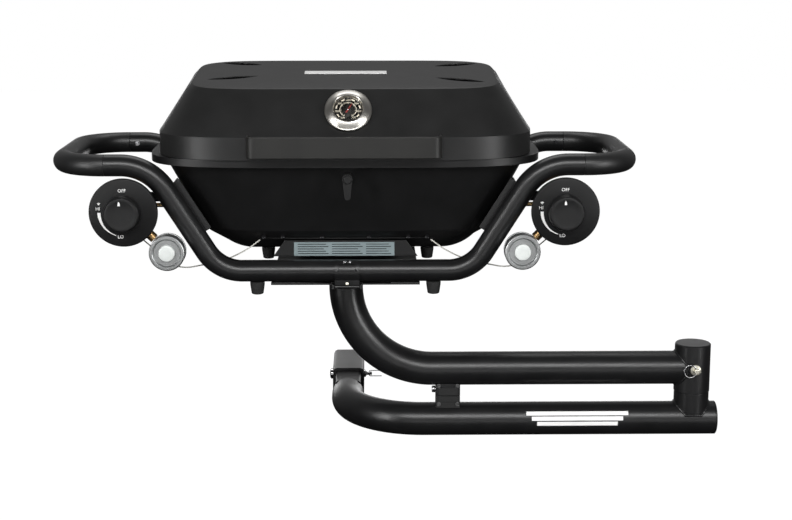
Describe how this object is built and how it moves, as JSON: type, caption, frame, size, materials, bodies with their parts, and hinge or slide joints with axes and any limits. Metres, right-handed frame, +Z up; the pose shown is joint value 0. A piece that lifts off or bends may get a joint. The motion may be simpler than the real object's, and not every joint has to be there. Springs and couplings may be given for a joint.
{
  "type": "hitch-mounted swing-arm gas grill",
  "caption": "Black gas grill with a hinged lid on a swing arm that slides into a vehicle hitch receiver, with side controls and tube handles.",
  "frame": {"origin": "middle of the hitch pin, on the axis of the hitch shank", "axes": "+Y along the shank towards the vehicle, +X towards the pivot post, +Z up"},
  "size_m": [1.2091, 0.643, 0.6933],
  "materials": {
    "powder_coat": "satin black powder coat",
    "handle_coat": "textured black grip coating",
    "box_enamel": "satin black heat-proof enamel",
    "lid_enamel": "satin black heat-proof enamel",
    "foot_rubber": "matte black rubber",
    "control_plastic": "matte black with pale dial marks",
    "bright_steel": "plain bright steel",
    "chrome_trim": "polished",
    "zinc_cast": "cast zinc, satin",
    "brass": "machined",
    "cast_iron": "matte black",
    "lead_insulation": "pale heat-proof sleeve",
    "needle_red": "red enamel"
  },
  "bodies": {
    "root": {"lower_arm": "powder_coat", "lower_arm_cap": "powder_coat", "shank": "powder_coat", "adapter_sleeve": "powder_coat", "hitch_pin": "chrome_trim", "hitch_clip": "bright_steel", "pivot_post": "powder_coat", "pivot_spindle": "bright_steel", "rest_block": "foot_rubber"},
    "swing_arm": {"upper_arm": "powder_coat", "pivot_sleeve": "powder_coat", "lower_bushing": "brass", "upper_bushing": "brass", "stop_block": "powder_coat", "platform_plate": "powder_coat", "front_rail": "powder_coat", "rear_rail": "powder_coat", "handle_left": "handle_coat", "handle_right": "handle_coat", "foot_front_left": "foot_rubber", "foot_front_right": "foot_rubber", "foot_rear_left": "foot_rubber", "foot_rear_right": "foot_rubber", "side_bracket_left": "powder_coat", "side_bracket_right": "powder_coat", "firebox": "box_enamel", "hinge_rod": "bright_steel", "burner_left": "cast_iron", "burner_right": "cast_iron", "heat_tent_left": "cast_iron", "heat_tent_right": "cast_iron", "grate_left": "cast_iron", "grate_right": "cast_iron", "latch_boss": "box_enamel", "bezel_left": "control_plastic", "bezel_right": "control_plastic", "valve_left": "brass", "valve_right": "brass", "regulator_left": "zinc_cast", "regulator_right": "zinc_cast", "brass_fitting_left": "brass", "brass_fitting_right": "brass", "gas_tube_left": "brass", "gas_tube_right": "brass", "igniter_lead_left": "lead_insulation", "igniter_lead_right": "lead_insulation"},
    "lock_pin": {"lock_pin": "chrome_trim"},
    "lock_ring": {"lock_ring": "bright_steel"},
    "latch_plunger": {"latch_plunger": "bright_steel"},
    "rail_clamp": {"rail_clamp": "powder_coat"},
    "grease_tray": {"grease_tray": "box_enamel"},
    "lid": {"lid_shell": "lid_enamel", "lid_handle": "lid_enamel", "gauge_case": "chrome_trim"},
    "gauge_needle": {"gauge_needle": "needle_red"},
    "latch_lever": {"latch_lever": "box_enamel"},
    "valve_stem_left": {"valve_stem_left": "bright_steel"},
    "valve_stem_right": {"valve_stem_right": "bright_steel"},
    "knob_left": {"knob_left": "control_plastic"},
    "knob_right": {"knob_right": "control_plastic"}
  },
  "joints": [
    {"name": "arm_swing", "type": "hinge", "parent": "root", "child": "swing_arm", "pos_m": [0.649, -0.323, 0.1], "axis": [0, 0, 1], "range_deg": [0, 180]},
    {"name": "lock_pin_pull", "type": "slide", "parent": "swing_arm", "child": "lock_pin", "axis": [0, -1, 0], "range_m": [0, 0.009], "stiffness_N_per_m": 600},
    {"name": "lock_ring_swing", "type": "hinge", "parent": "lock_pin", "child": "lock_ring", "pos_m": [0.649, -0.3668, 0.101], "axis": [0, 0, 1], "range_deg": [-20, 110]},
    {"name": "arm_latch_pull", "type": "slide", "parent": "swing_arm", "child": "latch_plunger", "axis": [-1, 0, 0], "range_m": [0, 0.006], "stiffness_N_per_m": 600},
    {"name": "rail_clamp_open", "type": "hinge", "parent": "swing_arm", "child": "rail_clamp", "pos_m": [0.0045, -0.5045, 0.294], "axis": [1, 0, 0], "range_deg": [0, 100]},
    {"name": "grease_tray_slide", "type": "slide", "parent": "swing_arm", "child": "grease_tray", "axis": [0, -1, 0], "range_m": [0, 0.2]},
    {"name": "lid_lift", "type": "hinge", "parent": "swing_arm", "child": "lid", "pos_m": [0.0015, -0.1065, 0.518], "axis": [-1, 0, 0], "range_deg": [0, 95]},
    {"name": "gauge_turn", "type": "hinge", "parent": "lid", "child": "gauge_needle", "pos_m": [0.008, -0.4985, 0.598], "axis": [0, -0.7986, 0.6018], "range_deg": [-110, 150], "stiffness_Nm_per_rad": 0.001},
    {"name": "latch_lever_turn", "type": "hinge", "parent": "swing_arm", "child": "latch_lever", "pos_m": [0.0065, -0.5335, 0.487], "axis": [0, -1, 0], "range_deg": [0, 180]},
    {"name": "valve_turn_left", "type": "hinge", "parent": "swing_arm", "child": "valve_stem_left", "pos_m": [-0.3785, -0.513, 0.427], "axis": [0, -1, 0], "range_deg": [0, 180]},
    {"name": "knob_push_left", "type": "slide", "parent": "valve_stem_left", "child": "knob_left", "axis": [0, 1, 0], "range_m": [0, 0.003], "stiffness_N_per_m": 500},
    {"name": "valve_turn_right", "type": "hinge", "parent": "swing_arm", "child": "valve_stem_right", "pos_m": [0.3815, -0.513, 0.427], "axis": [0, -1, 0], "range_deg": [0, 180]},
    {"name": "knob_push_right", "type": "slide", "parent": "valve_stem_right", "child": "knob_right", "axis": [0, 1, 0], "range_m": [0, 0.003], "stiffness_N_per_m": 500}
  ]
}
